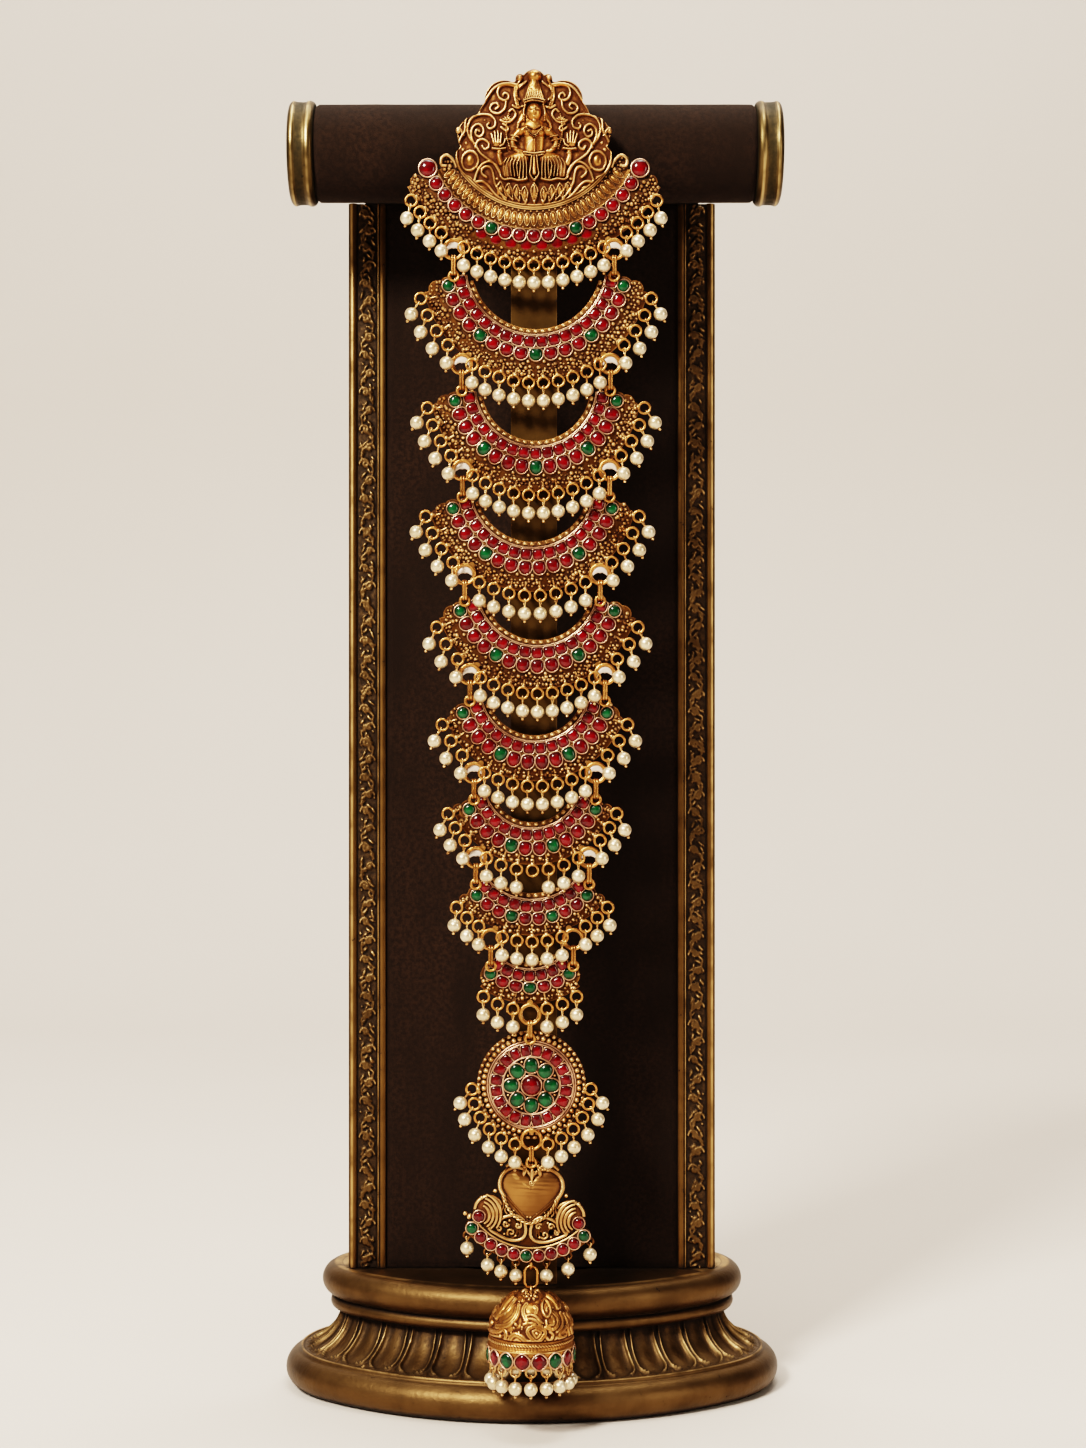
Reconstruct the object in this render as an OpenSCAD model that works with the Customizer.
// Long hair brooch of nine crescent tiers linked in a row, pinned to a display stand's velvet bar.
// X runs to the viewer's right, the viewer looks along +Y, and Z is up from the foot's underside.
// Depths are measured from the foot's middle towards the viewer, so a depth d lies at Y = -d.

/* [Foot] */
// Half of the foot's width at its lower torus
foot_half_w = 74.7; // [72:0.1:78]
// Half of the foot's depth at its lower torus
foot_half_d = 52.3; // [51:0.1:53]
// Radius of the foot's round ends, seen from above
foot_end_r = 38; // [37.5:0.1:38.5]
// Height of the lower torus
foot_torus_h = 10.8; // [10.4:0.1:11]
// Height of the foot's flat top
foot_h = 36.5; // [36.2:0.1:36.8]

/* [Frame] */
// Width over both columns
frame_w = 110; // [108:0.5:112]
// Width of one column
column_w = 11.3; // [10.5:0.1:12]
// Depth at which the columns' front faces lie
frame_front = 12; // [10:0.5:14]
// Thickness of the columns
frame_t = 10; // [8:0.5:11]
// Height of the columns' and panel's top edge
frame_top = 356; // [355:0.5:358]

/* [Bar] */
// Radius of the velvet bar
bar_r = 13.86; // [13.5:0.02:14]
// Depth of the bar's axis
bar_depth = 39; // [38.5:0.1:39]
// Height of the bar's axis
bar_z = 364.1; // [363.5:0.1:365]
// Length of the bar between its end bands
bar_len = 126; // [120:1:130]
// How far the bar sits to the right of the middle
bar_shift = 1.2; // [0:0.1:2]
// Radius of an end band
cap_r = 14.9; // [14.5:0.1:15.5]
// Width of an end band
cap_w = 7.5; // [6:0.1:9]

/* [Jewel] */
// Depth of the crescents' back faces
plate_back = 55.5; // [55.4:0.1:55.8]
// Thickness of a crescent's plate at its rings
plate_t = 1.8; // [1.7:0.1:1.9]
// Radius of a pearl
pearl_r = 1.92; // [1.8:0.02:1.94]
// Length of a drop from its ring's centre to its pearl's centre
drop_len = 5.07; // [5:0.01:5.2]
// Radius of a jump ring to the middle of its wire
ring_r = 1.57; // [1.5:0.01:1.6]
// Radius of a jump ring's wire
ring_wire = 0.325; // [0.28:0.005:0.34]
// Radius of a round stone in the crescents
stone_r = 1.55; // [1.4:0.05:1.6]

/* [Bell] */
// Depth of the bell's axis
bell_depth = 57.5; // [57:0.1:58]
// Radius of the bell at its rim
bell_r = 12.2; // [11.8:0.1:12.4]
// Height of the bell's rim above the floor
bell_rim_z = 25; // [24.8:0.1:25.5]
// Number of drops and stones round the bell
bell_count = 16; // [14:1:16]

/* [Hidden] */
$fn = 48;

gold = "goldenrod";
bronze = "darkgoldenrod";
velvet = "saddlebrown";
pearl = "ivory";
ruby = "crimson";
emerald = "seagreen";

gap = 0.1;                       // clearance between pieces that are seated on each other
far = 200;                       // longer than any piece that a cut goes through

// Columns of the table of tiers. Lengths in mm and angles in degrees from straight down.
T_X = 0;          // middle of the tier's arcs, across
T_Z = 1;          // middle of the tier's arcs, up
T_IN = 2;         // radius of the inner row of stones
T_OUT = 3;        // radius of the outer row of stones
T_RING = 4;       // radius of the row of jump rings
T_HORN = 5;       // half angle of the crescent, at its end stones
T_OUTER_N = 6;    // stones in the outer row, with its end stones
T_GREEN = 7;      // steps from the middle of the outer row to a green stone
T_MID_GREEN = 8;  // 1 where the outer row's middle stone is green
T_CONN_R = 9;     // radius at which the connector rings sit
T_CONN_A = 10;    // angle of the connector rings
T_MID_N = 11;     // drops between the connector rings
T_MID_A = 12;     // half angle of those drops
T_SIDE_N = 13;    // drops on each side, past the connector ring
T_SIDE_A0 = 14;   // angle of the first side drop
T_SIDE_A1 = 15;   // angle of the last side drop

tiers = [
    [0.8, 369.3, 32.9, 35.5, 41.7, 62.0, 19, 3.0, 0, 43.2, 31.4, 11, 28.0, 4, 38.3, 55.3],
    [1.4, 328.4, 21.7, 25.3, 33.8, 76.3, 17, 4.0, 1, 35.0, 36.5, 10, 32.0, 4, 46.7, 72.4],
    [1.4, 294.2, 18.9, 23.1, 31.0, 79.6, 17, 4.0, 1, 31.4, 41.0, 10, 34.8, 4, 50.0, 77.7],
    [0.4, 266.2, 19.3, 23.2, 31.1, 74.0, 16, 3.5, 0, 31.3, 37.3, 8, 28.5, 4, 45.5, 73.3],
    [1.8, 238.2, 18.9, 22.8, 30.5, 71.7, 15, 3.0, 0, 31.3, 37.2, 9, 31.5, 3, 47.0, 67.0],
    [1.1, 209.8, 17.3, 21.5, 28.0, 69.9, 14, 2.5, 0, 29.6, 35.2, 8, 30.2, 3, 46.5, 67.5],
    [0.4, 183.7, 15.6, 19.6, 25.4, 64.7, 12, 1.5, 0, 27.0, 36.0, 7, 30.4, 3, 48.0, 68.0],
    [0.3, 166.4, 18.3, 21.7, 28.0, 45.5, 10, 1.5, 0, 29.8, 22.8, 5, 17.4, 3, 32.2, 48.9],
    [-0.3, 143.1, 14.5, 17.7, 23.9, 38.4, 7, 0.0, 1, 25.2, 0.0, 0, 0.0, 3, 11.5, 33.0]];
last_tier = len(tiers);
lost_pearl = 7;                  // the tier whose middle drop is missing

// Heights above a crescent's back face
ring_h = 5.75;                   // plane of the jump rings, in front of the next tier's stones
stone_floor = 1.5;               // bottom of a stone's pocket
girdle_h = 0.75;                 // straight side of a stone
dome_h = 0.75;                   // dome of a stone above its side
bezel_h = 2.4;                   // top of a round setting
bezel_t = 0.3;                   // wall of a round setting
conn_h = 3.4;                    // plane of the connector rings and horn loops

conn_r = 2.75;                   // connector ring, to the middle of its wire
conn_wire = 0.45;
loop_r = 1.3;                    // horn loop, to the middle of its wire
loop_wire = 0.4;
loop_post_r = 0.35;
link_r = 0.92;                   // half width of a link, to the middle of its wire
link_wire = 0.35;
link_pair = 0.36;                // half of the distance between the two wires of a double link
horn_drop = 7.5;                 // from a connector ring down to the next tier's horn loop
eye_r = 0.66;                    // eye of a drop, to the middle of its wire
eye_wire = 0.18;
pin_r = 0.28;                    // pin through a pearl
stem_r = 0.5;                    // stem from a plate's edge to a jump ring
end_ball_r = 0.5;
stone_pitch = 4.05;              // along the first tier's row of stones
big_ruby_r = 2.3;
big_ruby_a = 65;                 // angle of the first tier's two large rubies

lean_from = 42;                  // drops past this angle lean outwards against their neighbours' rings
lean_most = 40;

function conn_x(t) = t[T_CONN_R] * sin(t[T_CONN_A]);
function conn_y(t) = -t[T_CONN_R] * cos(t[T_CONN_A]);
function edge_r(t) = t[T_RING] - ring_r + 0.15;
function lean(a) = sign(a) * min(lean_most, max(0, abs(a) - lean_from));
function spread(n, a0, a1) = [for (i = [0:1:n - 1]) n == 1 ? a0 : a0 + (a1 - a0) * i / (n - 1)];
function both(list) = concat([for (a = list) -a], list);
function drop_angles(t) = concat(
    t[T_MID_N] > 0 ? spread(t[T_MID_N], -t[T_MID_A], t[T_MID_A]) : [],
    both(spread(t[T_SIDE_N], t[T_SIDE_A0], t[T_SIDE_A1])));
function outer_step(t) = 2 * t[T_HORN] / (t[T_OUTER_N] - 1);
function outer_angles(t) = spread(t[T_OUTER_N], -t[T_HORN], t[T_HORN]);
function green_angles(t) = concat(
    both([t[T_HORN]]),
    t[T_GREEN] > 0 ? both([t[T_GREEN] * outer_step(t)]) : [],
    t[T_MID_GREEN] == 1 ? [0] : []);

// Common small shapes. In a face's own frame x is across, y is up and z is towards the viewer.

module on_face(x, z, d) {
    translate([x, -d, z]) rotate([90, 0, 0]) children();
}

module at(r, a) {
    translate([r * sin(a), -r * cos(a), 0]) children();
}

module torus(r, wire) {
    rotate_extrude() translate([r, 0]) circle(wire);
}

// A turned band about the face's own axis, from a profile of radius and height
module turned(half) {
    rotate([0, 0, -90 - half]) rotate_extrude(angle = 2 * half) children();
}

module cabochon(r) {
    cap_r = (r * r + dome_h * dome_h) / (2 * dome_h);
    rotate_extrude() {
        square([r, girdle_h]);
        intersection() {
            translate([0, girdle_h + dome_h - cap_r]) circle(cap_r);
            translate([0, girdle_h - 0.01]) square([r, dome_h + 0.01]);
        }
    }
}

module setting(r) {
    cylinder(r = r + gap + bezel_t, h = bezel_h);
}

module pocket(r) {
    translate([0, 0, stone_floor]) cylinder(r = r + gap, h = bezel_h);
}

module seated_stone(r) {
    translate([0, 0, stone_floor + gap]) cabochon(r);
}

// One pearl on its pin, hung by an eye from a jump ring whose centre is the origin
module drop(length = drop_len, from = ring_r) {
    pin_top = from + eye_r;
    translate([0, -from, 0]) rotate([0, 90, 0]) torus(eye_r, eye_wire);
    translate([0, -pin_top, 0]) rotate([90, 0, 0]) cylinder(r = pin_r, h = length - pin_top);
    translate([0, -length, 0]) sphere(pearl_r);
    translate([0, -length - pearl_r - 0.3, 0]) sphere(end_ball_r);
}

// Oval wire ring that stands edge on to the viewer, between two points one above the other
module oval_wire(top, bottom, r, wire) {
    rotate([0, 90, 0]) {
        translate([0, top, 0]) rotate_extrude(angle = 180) translate([r, 0]) circle(wire);
        translate([0, bottom, 0]) rotate([0, 0, 180]) rotate_extrude(angle = 180) translate([r, 0]) circle(wire);
        for (side = [-1, 1])
            translate([side * r, top, 0]) rotate([90, 0, 0]) cylinder(r = wire, h = top - bottom);
    }
}

module double_link(top, bottom) {
    for (side = [-1, 1])
        translate([side * link_pair, 0, 0]) oval_wire(top, bottom, link_r, link_wire);
}

// A jump ring at the radius r, on its stem that stands on a plate whose edge is at the radius edge
module ring_on_stem(r, edge, a) {
    at(r, a) translate([0, 0, ring_h]) torus(ring_r, ring_wire);
    at(edge - 0.35, a) translate([0, 0, 0.6]) cylinder(r = stem_r, h = ring_h - 0.4);
}

// A connector ring on its short post, seen from the face, with the post towards the plate
module connector(post_x, post_y) {
    translate([0, 0, conn_h]) torus(conn_r, conn_wire);
    translate([post_x, post_y, 0.6]) cylinder(r = 0.8, h = conn_h - 0.4);
}

// A horn loop on its post, which stands at the loop's side in the direction turn
module horn_loop(turn = 0) {
    translate([0, 0, conn_h]) torus(loop_r, loop_wire);
    at(loop_r, turn) translate([0, 0, 0.6]) cylinder(r = loop_post_r, h = conn_h - 0.5);
}

module loop_base(turn = 0) at(loop_r, turn) cylinder(r = 1.2, h = plate_t);

// Stand

foot_side_x = foot_half_w - foot_end_r;
foot_front_r = (foot_side_x ^ 2 + foot_half_d ^ 2 - foot_end_r ^ 2) / (2 * (foot_half_d - foot_end_r));
foot_front_y = foot_front_r - foot_half_d;
foot_front_a = atan(foot_side_x / foot_front_y);
cove_r = 14;
upper_torus_r = 4.7;
upper_torus_x = foot_end_r - 11 - upper_torus_r;
bead_r = 1.9;

function arc(x, y, r, a0, a1, n) = [for (i = [0:n]) let (a = a0 + (a1 - a0) * i / n) [x + r * cos(a), y + r * sin(a)]];

// Half section of the foot, where x = 0 is the axis of its round end
function foot_section() = let (
    lower_r = foot_torus_h / 2,
    cove_x = foot_end_r - 3.5,
    cove_top = foot_torus_h + 0.7 + cove_r) concat(
    [[0, 0]],
    arc(foot_end_r - lower_r, lower_r, lower_r, -90, 90, 12),
    arc(cove_x, cove_top, cove_r, -90, -170, 8),
    arc(upper_torus_x + 0.3, cove_top - 0.4, bead_r, -75, 75, 6),
    arc(upper_torus_x, foot_h - upper_torus_r, upper_torus_r, -75, 90, 11),
    [[0, foot_h]]);

module stand_base() color(bronze) {
    for (turn = [0, 180]) rotate([0, 0, turn]) {
        translate([foot_side_x, 0, 0]) rotate([0, 0, foot_front_a - 90])
            rotate_extrude(angle = 180 - 2 * foot_front_a) polygon(foot_section());
        translate([0, foot_front_y, 0]) rotate([0, 0, -90 - foot_front_a])
            rotate_extrude(angle = 2 * foot_front_a)
                translate([foot_front_r - foot_end_r, 0]) polygon(foot_section());
    }
    core_r = foot_front_r - foot_end_r + 10;
    linear_extrude(foot_h) intersection() {
        translate([0, foot_front_y]) circle(core_r);
        translate([0, -foot_front_y]) circle(core_r);
    }
}

module velvet_panel() color(velvet) {
    w = frame_w - 2 * column_w - 2 * gap;
    translate([-w / 2, -frame_front + 1, foot_h + gap]) cube([w, frame_t - 2, frame_top - foot_h - gap]);
}

module column(side) color(bronze) {
    channel_w = 4.8;
    outer_w = 3.4;
    x0 = frame_w / 2 - column_w;
    mirror([side < 0 ? 1 : 0, 0, 0])
        translate([0, 0, foot_h + gap]) linear_extrude(frame_top - foot_h - gap) difference() {
            translate([x0, -frame_front]) square([column_w, frame_t]);
            translate([frame_w / 2 - outer_w - channel_w, -frame_front - 1]) square([channel_w, 1.9]);
            translate([x0 - 1, -frame_front - 1]) square([1.8, 1.6]);
        }
}

module left_column() column(-1);
module right_column() column(1);

module cross_rail() color(bronze) {
    difference() {
        translate([-50, -bar_depth, frame_top + gap])
            cube([100, bar_depth - frame_front + frame_t, 18]);
        translate([-far / 2, -bar_depth, bar_z]) rotate([0, 90, 0]) cylinder(r = bar_r + gap, h = far);
    }
}

pin_zs = [358, 368];             // heights of the plaque's two hidden pins

module velvet_bar() color(velvet) {
    difference() {
        translate([bar_shift - bar_len / 2, -bar_depth, bar_z]) rotate([0, 90, 0])
            cylinder(r = bar_r, h = bar_len);
        for (z = pin_zs) on_face(tiers[0][T_X], z, bar_depth + 7) cylinder(r = 1.1, h = 20);
    }
}

module bar_cap(side) color(bronze) {
    edge = 1.6;
    translate([bar_shift + side * (bar_len / 2 + gap), -bar_depth, bar_z]) rotate([0, side * 90, 0])
        rotate_extrude() {
            translate([0, 0]) square([cap_r - edge, cap_w]);
            translate([0, edge]) square([cap_r, cap_w - 2 * edge]);
            for (y = [edge, cap_w - edge]) translate([cap_r - edge, y]) circle(edge);
        }
}

module left_bar_cap() bar_cap(-1);
module right_bar_cap() bar_cap(1);

strip_w = 13;
strip_back = 53;
strip_t = 0.8;
strip_bottom = 41.2;

module backing_strip() color(gold) {
    translate([tiers[0][T_X], 0, 0]) difference() {
        translate([-strip_w / 2, -strip_back - strip_t, strip_bottom])
            cube([strip_w, strip_t, 372 - strip_bottom]);
        for (z = pin_zs) on_face(0, z, strip_back - 1) cylinder(r = 1.1, h = 4);
    }
}

// Top plaque

plaque_z = 362.9;                // middle of the plaque's upper part
plaque_back = 57.6;
plaque_t = 1.5;
plaque_rim_r = 24.5;             // lower rim, about the first tier's middle
rim_half = 64;

// Scrolls, as centre across, centre up from the plaque's middle, and radius; each is on both sides
scrolls = [[8.5, 13.3, 2.0], [10.5, 10.2, 2.2], [15.7, 3.3, 2.7], [13.6, -0.1, 1.8],
    [18.0, -4.5, 2.6], [13.3, -7.8, 2.4], [15.2, -11.6, 1.9], [11.6, 6.0, 1.8]];

module plaque_plate() {
    difference() {
        union() {
            circle(18.4);
            for (side = [-1, 1]) {
                translate([side * 16.2, 1]) circle(5.8);
                translate([side * 8, 12.2]) circle(5.6);
            }
            intersection() {
                translate([0, tiers[0][T_Z] - plaque_z]) circle(plaque_rim_r);
                translate([-21.9, -far / 2]) square([43.8, far / 2]);
            }
        }
        for (side = [-1, 1], s = scrolls) translate([side * s[0], s[1]]) circle(s[2] * 0.42);
    }
}

module limb(p, q, r) {
    v = q - p;
    translate(p) rotate([0, 90 - atan2(v[2], norm([v[0], v[1]])), atan2(v[1], v[0])]) cylinder(r = r, h = norm(v));
}

// Seated figure in relief, about the plaque's middle, in the face's own frame
module figure() {
    translate([0, 8.2, 0.6]) sphere(2.9);
    limb([0, 9.9, 0.6], [0, 17.2, 0.6], 2.2);
    translate([0, 18.4, 0.6]) sphere(1.7);
    limb([0, -5.4, 0.2], [0, 6.2, 0.2], 2.8);
    for (side = [-1, 1]) {
        limb([side * 2.4, 2.9, 0.4], [side * 6.6, -2.4, 0.4], 1.2);
        limb([side * 6.2, -2.6, 0.3], [side * 10.9, -1.6, 0.3], 0.9);
        translate([side * 10.9, 1.2, 0.2]) sphere(2);
        limb([side * 1.5, -5.9, 0.4], [side * 7.9, -7.2, 0.4], 2.4);
        translate([side * 8.4, -6.9, 0.3]) sphere(2.8);
    }
    for (x = [-9.6:3.2:9.6]) translate([x, -14.2 + x * x * 0.012, 0.2]) sphere(1.5);
}

module top_plaque() color(gold) {
    on_face(tiers[0][T_X], plaque_z, plaque_back) {
        linear_extrude(plaque_t) plaque_plate();
        translate([0, 0, plaque_t]) {
            figure();
            for (side = [-1, 1], s = scrolls) translate([side * s[0], s[1], 0]) torus(s[2] - 0.4, 0.4);
        }
        for (side = [-1, 1]) {
            translate([side * 4, 17.6, plaque_t]) sphere(0.9);
            translate([side * 24.3, -5, 0.8]) torus(1.9, 0.45);
        }
    }
    on_face(tiers[0][T_X], tiers[0][T_Z], plaque_back) turned(rim_half)
        translate([plaque_rim_r, plaque_t]) circle(0.6);
    for (z = pin_zs) on_face(tiers[0][T_X], z, bar_depth + 7.5) cylinder(r = 1, h = plaque_back + 0.5 - bar_depth - 7.5);
}

// Crescent tiers

function tier_profile(t) = [
    [t[T_IN] - 3.6, 0], [edge_r(t), 0], [edge_r(t), 1.35], [t[T_OUT] + 2.3, 1.75],
    [t[T_OUT] + 1.5, 2.15], [(t[T_IN] + t[T_OUT]) / 2, 2.15], [(t[T_IN] + t[T_OUT]) / 2, 2.5],
    [t[T_IN] - 1.8, 2.5], [t[T_IN] - 2.1, 1.9], [t[T_IN] - 3.6, 1.7]];

first_profile = let (t = tiers[0]) [
    [plaque_rim_r - 1.6, 0], [edge_r(t), 0], [edge_r(t), 1.35], [t[T_OUT] + 2.2, 1.75],
    [t[T_OUT] + 1.6, 1.95], [t[T_IN] + 1.2, 1.95], [t[T_IN] + 0.9, 2.15],
    [t[T_IN] - 1.9, 2.15], [t[T_IN] - 2.2, 2.3], [t[T_IN] - 2.9, 1.95], [plaque_rim_r - 1.6, 1.95]];

function first_angles() = let (step = stone_pitch / tiers[0][T_IN] * 180 / PI) [for (i = [-8:8]) i * step];

module rings_and_connectors(t) {
    for (a = drop_angles(t)) ring_on_stem(t[T_RING], edge_r(t), a);
    for (side = t[T_CONN_A] > 0 ? [-1, 1] : [1])
        at(t[T_CONN_R], side * t[T_CONN_A])
            connector(-(conn_r + 0.5) * sin(side * t[T_CONN_A]), (conn_r + 0.5) * cos(t[T_CONN_A]));
}

// Where a tier's horn loop hangs from the tier before it, and the way from there to its inner row's end
function loop_at(t, before, side) = [before[T_X] - t[T_X] + side * conn_x(before),
    before[T_Z] - t[T_Z] + conn_y(before) - horn_drop, 0];
function row_end(t, side) = [side * t[T_IN] * sin(t[T_HORN]), -t[T_IN] * cos(t[T_HORN]), 0];
function turn_to(from, to) = atan2(to[0] - from[0], from[1] - to[1]);

module tier(k) color(gold) {
    t = tiers[k - 1];
    before = tiers[k - 2];
    on_face(t[T_X], t[T_Z], plate_back) {
        rings_and_connectors(t);
        difference() {
            union() {
                turned(t[T_HORN]) polygon(tier_profile(t));
                for (a = outer_angles(t)) at(t[T_OUT], a) setting(stone_r);
                for (side = [-1, 1]) {
                    at(t[T_IN], side * t[T_HORN]) cylinder(r = 1.8, h = 2);
                    loop = loop_at(t, before, side);
                    translate(loop) loop_base(turn_to(loop, row_end(t, side)));
                    at(t[T_RING] - 5.2, side * t[T_HORN]) cylinder(r = 2.4, h = plate_t - 0.1);
                    at(t[T_RING] - 2.9, side * t[T_SIDE_A1]) cylinder(r = 1.6, h = 1.3);
                    at(t[T_OUT], side * t[T_HORN]) cylinder(r = 2.7, h = plate_t);
                }
            }
            for (a = green_angles(t)) at(t[T_OUT], a) pocket(stone_r);
        }
        for (side = [-1, 1]) let (loop = loop_at(t, before, side))
            translate(loop) horn_loop(turn_to(loop, row_end(t, side)));
    }
}

module first_tier() color(gold) {
    t = tiers[0];
    on_face(t[T_X], t[T_Z], plate_back) {
        rings_and_connectors(t);
        difference() {
            union() {
                turned(t[T_HORN]) polygon(first_profile);
                for (a = first_angles()) at(t[T_IN], a) setting(stone_r);
                for (side = [-1, 1]) {
                    at(t[T_IN], side * big_ruby_a) setting(big_ruby_r);
                    at(t[T_RING] - 4.5, side * t[T_HORN]) cylinder(r = 1.9, h = plate_t - 0.1);
                    at(t[T_IN] - 5.5, side * t[T_HORN]) cylinder(r = 2.2, h = plate_t - 0.1);
                }
            }
            for (side = [-1, 1]) {
                at(t[T_IN], side * big_ruby_a) pocket(big_ruby_r);
                at(t[T_IN], side * first_angles()[8 + t[T_GREEN]]) pocket(stone_r);
            }
        }
    }
}

module stones(k) {
    t = tiers[k - 1];
    on_face(t[T_X], t[T_Z], plate_back) {
        if (k == 1) {
            for (side = [-1, 1]) {
                color(ruby) at(t[T_IN], side * big_ruby_a) seated_stone(big_ruby_r);
                color(emerald) at(t[T_IN], side * first_angles()[8 + t[T_GREEN]]) seated_stone(stone_r);
            }
        } else {
            color(emerald) for (a = green_angles(t)) at(t[T_OUT], a) seated_stone(stone_r);
        }
    }
}

module pearls(k) color(pearl) {
    t = tiers[k - 1];
    on_face(t[T_X], t[T_Z], plate_back + ring_h)
        for (a = drop_angles(t))
            if (k != lost_pearl || abs(a) > 1) at(t[T_RING], a) rotate([0, 0, lean(a)]) drop();
}

module links(k) color(gold) {
    t = tiers[k - 1];
    on_face(t[T_X], t[T_Z], plate_back + conn_h)
        for (side = [-1, 1])
            translate([side * conn_x(t), conn_y(t), 0]) double_link(-conn_r, loop_r - horn_drop);
}

// Medallion

medal_x = 0.1;
medal_z = 97.8;
medal_r = 13.6;
medal_lip = 1.6;                 // plain lip outside the beaded rim
medal_ring_r = 16.6;             // radius of the row of jump rings
medal_drops = both(spread(6, 16, 88));
medal_conn_y = -15.1;            // connector ring below the middle
petal_r = 1.7;
petal_row_r = 5.9;
petal_n = 8;
heart_stone_r = 2.5;
last_x = tiers[last_tier - 1][T_X];
medal_hook_drop = 6.9;

medal_profile = [[0, 0], [medal_r + medal_lip, 0], [medal_r + medal_lip, 1.3], [medal_r, 1.8], [medal_r - 0.7, 2.3],
    [medal_r - 1.5, 1.9], [11.9, 1.9], [11.7, 2.5], [7.9, 2.5], [7.7, 1.9], [0, 1.9]];

module medallion() color(gold) {
    conn = tiers[last_tier - 1];
    on_face(medal_x, medal_z, plate_back) {
        difference() {
            union() {
                rotate_extrude() polygon(medal_profile);
                for (i = [0:petal_n - 1]) at(petal_row_r, i * 360 / petal_n) setting(petal_r);
                setting(heart_stone_r);
            }
            for (i = [0:petal_n - 1]) at(petal_row_r, i * 360 / petal_n) pocket(petal_r);
            pocket(heart_stone_r);
        }
        for (a = medal_drops) ring_on_stem(medal_ring_r, medal_r + medal_lip, a);
        translate([0, medal_conn_y, 0]) connector(0, conn_r - 0.2);
        translate([last_x - medal_x, conn[T_Z] + conn_y(conn) - medal_hook_drop - medal_z, 0]) {
            horn_loop();
            loop_base();
        }
    }
}

module medallion_stones() {
    on_face(medal_x, medal_z, plate_back) {
        color(emerald) for (i = [0:petal_n - 1]) at(petal_row_r, i * 360 / petal_n) seated_stone(petal_r);
        color(ruby) seated_stone(heart_stone_r);
    }
}

module medallion_pearls() color(pearl) {
    on_face(medal_x, medal_z, plate_back + ring_h)
        for (a = medal_drops) at(medal_ring_r, a) rotate([0, 0, lean(a)]) drop();
}

module medallion_link() color(gold) {
    t = tiers[last_tier - 1];
    on_face(t[T_X], t[T_Z] + conn_y(t), plate_back + conn_h) double_link(-conn_r, loop_r - medal_hook_drop);
}

// Heart pendant. Its arc of stones is tilted, as the whole pendant is.

pendant_z = 71.8;                // middle of its arc of stones
pendant_x = 0.2;
pendant_r = 21.9;
pendant_tilt = -4;
pendant_horn = 46;
pendant_n = 11;
pendant_hook_drop = 6.4;
pendant_drops = [-44.2, -26.6, -16.9, -6.5, 13.7, 28.7, 46.2];
heart_y = -2;                    // middle of the heart's lobes, from the middle of the arc of stones
heart_lobe_x = 4.15;
heart_lobe_r = 5.1;
heart_border = 0.9;
pendant_ring_r = 0.95;
pendant_drop_len = 3.75;
pendant_ring_h = plate_t / 2;    // plane of its jump rings
hook_r = 1.5;                    // hook at its lower tip, to the middle of its wire
hook_wire = 0.35;
hook_open = [56.8, 60];          // depths between which the hook's upper side is left out
bail_pivot_z = 47.0;             // the bail's top wire, in the pendant's loop
bail_depth = bell_depth;

function pendant_angles() = spread(pendant_n, -pendant_horn, pendant_horn);
pendant_greens = [0, 5, 10];
pendant_ring_row = pendant_r + 2.5;

module heart(r) {
    s = r / sqrt(2);
    translate([0, heart_y]) {
        for (side = [-1, 1]) translate([side * heart_lobe_x, 0]) circle(r);
        polygon([[0, -heart_lobe_x - 2 * s], [heart_lobe_x + s, -s], [0, 1.5], [-heart_lobe_x - s, -s]]);
    }
}

// Hook at the pendant's lower tip. It is open above, where the middle stone is seated.
module pendant_hook() {
    difference() {
        translate([0, -bell_depth, bail_pivot_z + hook_r / 2]) rotate([0, 90, 0]) torus(hook_r, hook_wire);
        translate([-1, -hook_open[1], bail_pivot_z + 1.2]) cube([2, hook_open[1] - hook_open[0], 2 * hook_r]);
    }
}

module pendant_frame() {
    on_face(pendant_x, pendant_z, plate_back) rotate([0, 0, pendant_tilt]) children();
}

module heart_pendant() color(gold) {
    hook_z = medal_z + medal_conn_y - pendant_hook_drop;
    pendant_frame() {
        difference() {
            union() {
                turned(pendant_horn) polygon([[13.1, 0], [pendant_r + 1.9, 0], [pendant_r + 1.9, 1.6],
                    [pendant_r + 1.2, 2.1], [pendant_r - 1.9, 2.1], [pendant_r - 2.2, 1.5], [13.1, 1.5]]);
                for (a = pendant_angles()) at(pendant_r, a) setting(stone_r);
                for (side = [-1, 1]) {
                    translate([side * 11.4, -10, 0]) cylinder(r = 4.4, h = 1.5);
                    translate([side * 11.4, -10, 1.5]) torus(3, 0.6);
                    at(18.3, side * 50) setting(stone_r);
                }
                linear_extrude(2.4) heart(heart_lobe_r);
                translate([0, 2.9, 0]) cylinder(r = 2.4, h = 1.9);
            }
            translate([0, 0, 1.9]) linear_extrude(3) heart(heart_lobe_r - heart_border);
            for (i = pendant_greens) at(pendant_r, pendant_angles()[i]) pocket(stone_r);
            for (side = [-1, 1], x = [3.4, 6.6, 9.8])
                translate([side * x, -16.4 + x * x * 0.03, -1]) cylinder(r = 0.9, h = 6);
        }
        for (side = [-1, 1]) translate([side * 6.4, -14.9, 1.5]) torus(3.4, 0.4);
        for (a = pendant_drops) at(pendant_ring_row, a) translate([0, 0, pendant_ring_h]) torus(pendant_ring_r, 0.28);
    }
    on_face(medal_x, hook_z, plate_back) {
        horn_loop();
        loop_base();
    }
    pendant_hook();
}

module pendant_stones() color(emerald) {
    pendant_frame() for (i = pendant_greens) at(pendant_r, pendant_angles()[i]) seated_stone(stone_r);
}

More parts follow.
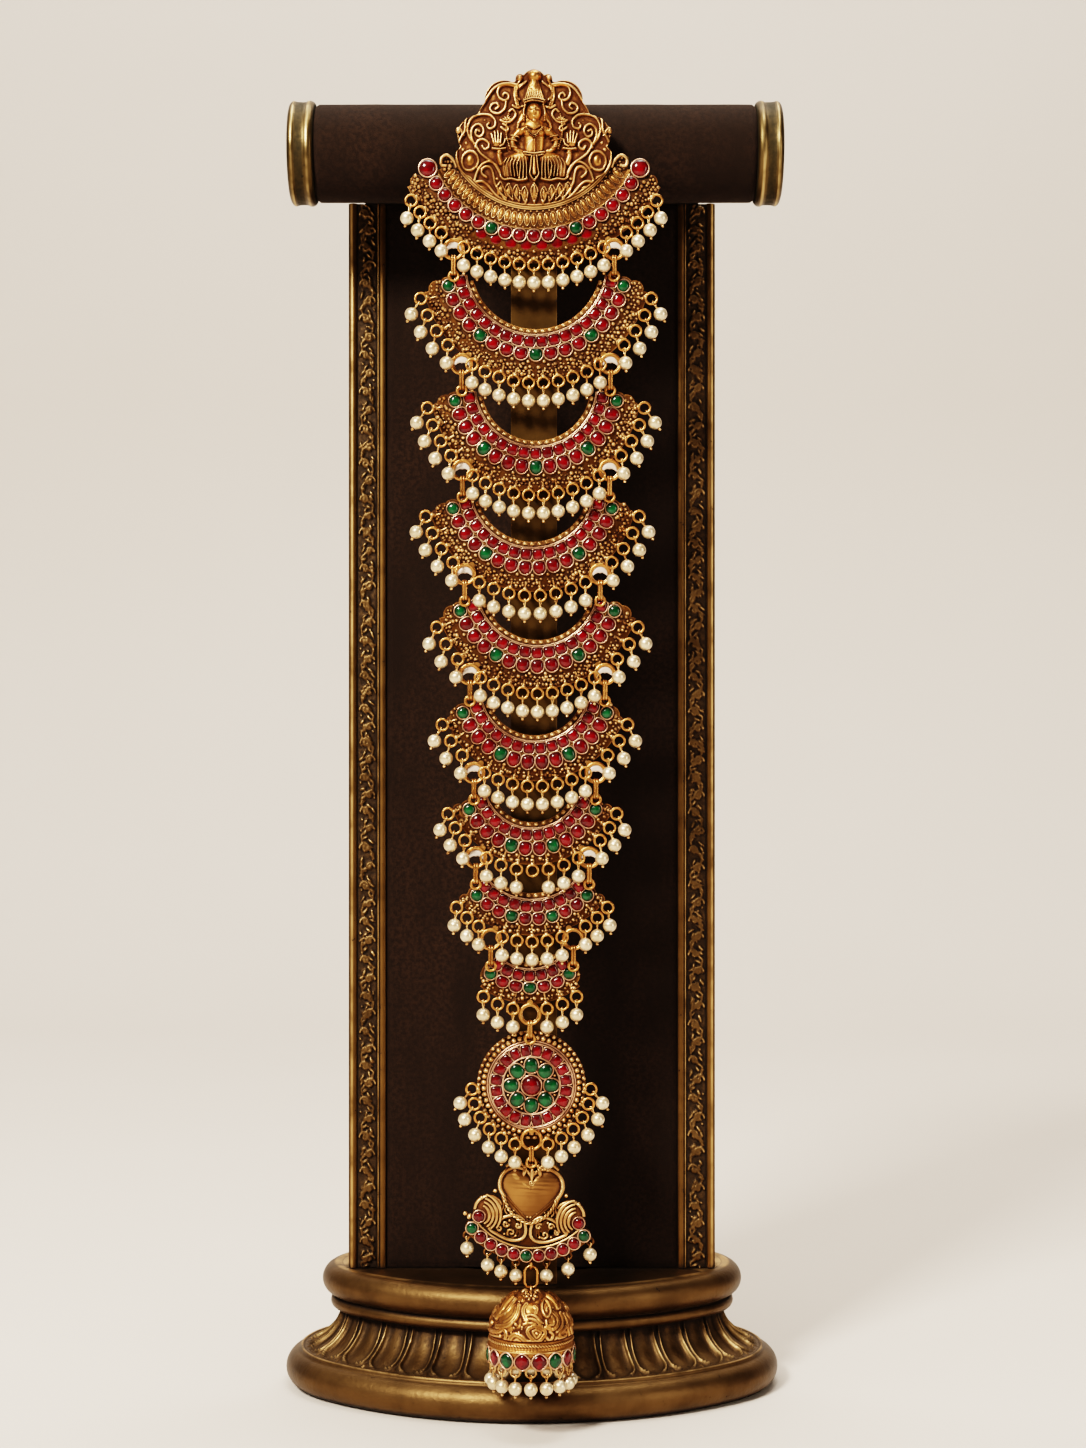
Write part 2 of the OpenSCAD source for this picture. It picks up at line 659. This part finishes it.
module pendant_pearls() color(pearl) {
    on_face(pendant_x, pendant_z, plate_back + pendant_ring_h) rotate([0, 0, pendant_tilt])
        for (a = pendant_drops) at(pendant_ring_row, a)
            rotate([0, 0, -pendant_tilt]) drop(pendant_drop_len, pendant_ring_r);
}

module pendant_link() color(gold) {
    on_face(medal_x, medal_z + medal_conn_y, plate_back + conn_h)
        double_link(-conn_r, loop_r - pendant_hook_drop);
}

// Bail and bell

bail_r = 1.75;
bail_wire = 0.35;
bail_len = 2.6;                  // between the centres of the bail's round ends
bell_pivot_z = bail_pivot_z - bail_len - 2 * bail_r + 0.75;
dome_top_z = 40;
dome_wall = 1;
bell_band_h = 4.2;               // band under the rim, with the stones
bell_stone_r = 1.65;
bell_ring_r = 1.2;
bell_loop_r = 1.5;

module bail() color(gold) {
    on_face(0, bail_pivot_z - bail_r, bail_depth)
        rotate([0, 90, 0]) oval_wire(0, -bail_len, bail_r, bail_wire);
}

// Half section of the bell's skin, as radius and height
module bell_profile() {
    dome_r = bell_r - 0.6;
    dome_z = dome_top_z - dome_r;
    difference() {
        union() {
            intersection() {
                translate([0, dome_z]) circle(dome_r);
                translate([0, dome_z]) square([far, far]);
            }
            translate([0, bell_rim_z]) square([dome_r, dome_z - bell_rim_z]);
            translate([0, bell_rim_z]) square([bell_r, 1]);
            translate([0, bell_rim_z - bell_band_h]) square([bell_r - 0.2, bell_band_h]);
        }
        translate([0, dome_z]) circle(dome_r - dome_wall);
        translate([-1, bell_rim_z - far]) square([dome_r - dome_wall + 1, far + dome_z - bell_rim_z]);
    }
}

// Places round the bell, counted from its front
module bell_row(offset) {
    translate([0, -bell_depth, 0])
        for (i = [0:bell_count - 1]) rotate([0, 0, (i + offset) * 360 / bell_count - 90]) children();
}

// Faces a child outwards on the bell's band, with its z along the radius
module on_band(r) {
    translate([r, 0, bell_rim_z - bell_band_h / 2]) rotate([0, 90, 0]) children();
}

module bell() color(gold) {
    difference() {
        union() {
            translate([0, -bell_depth, 0]) {
                rotate_extrude() bell_profile();
                translate([0, 0, dome_top_z - 1]) cylinder(r1 = 3.2, r2 = 1.6, h = 1.2);
                translate([0, 0, dome_top_z - 2.6]) cylinder(r = 2.4, h = 2.4);
                translate([0, 0, bell_pivot_z - bell_loop_r]) rotate([0, 90, 0]) torus(bell_loop_r, 0.35);
            }
            bell_row(0.5) on_band(bell_r - 1) cylinder(r = 2.05, h = 1.5);
            bell_row(0) bell_hook() torus(bell_ring_r, 0.3);
        }
        bell_row(0.5) on_band(bell_r - 0.5) cylinder(r = bell_stone_r + gap, h = 3);
    }
}

// Centre of a jump ring under the bell's band, with z along the radius
module bell_hook() {
    translate([bell_r - 0.9, 0, bell_rim_z - bell_band_h - bell_ring_r + 0.15]) rotate([90, 0, 90]) children();
}

// Red and green stones by turns, alike on both sides of the bell's front
module bell_stones() {
    for (i = [0:bell_count - 1])
        color(min(i, bell_count - 1 - i) % 2 == 0 ? ruby : emerald)
            translate([0, -bell_depth, 0]) rotate([0, 0, (i + 0.5) * 360 / bell_count - 90])
                on_band(bell_r - 0.5 + gap) cabochon(bell_stone_r);
}

module bell_pearls() color(pearl) {
    bell_row(0) bell_hook() drop(4.5, bell_ring_r);
}

stand_base();
velvet_panel();
left_column();
right_column();
cross_rail();
velvet_bar();
left_bar_cap();
right_bar_cap();
backing_strip();
top_plaque();
first_tier();  // tier_1
for (k = [2:last_tier]) tier(k);
for (k = [1:last_tier]) pearls(k);
for (k = [1:last_tier]) stones(k);
for (k = [1:last_tier - 1]) links(k);
medallion_link();
pendant_link();
medallion();
medallion_stones();
medallion_pearls();
heart_pendant();
pendant_stones();
pendant_pearls();
bail();
bell();
bell_stones();
bell_pearls();
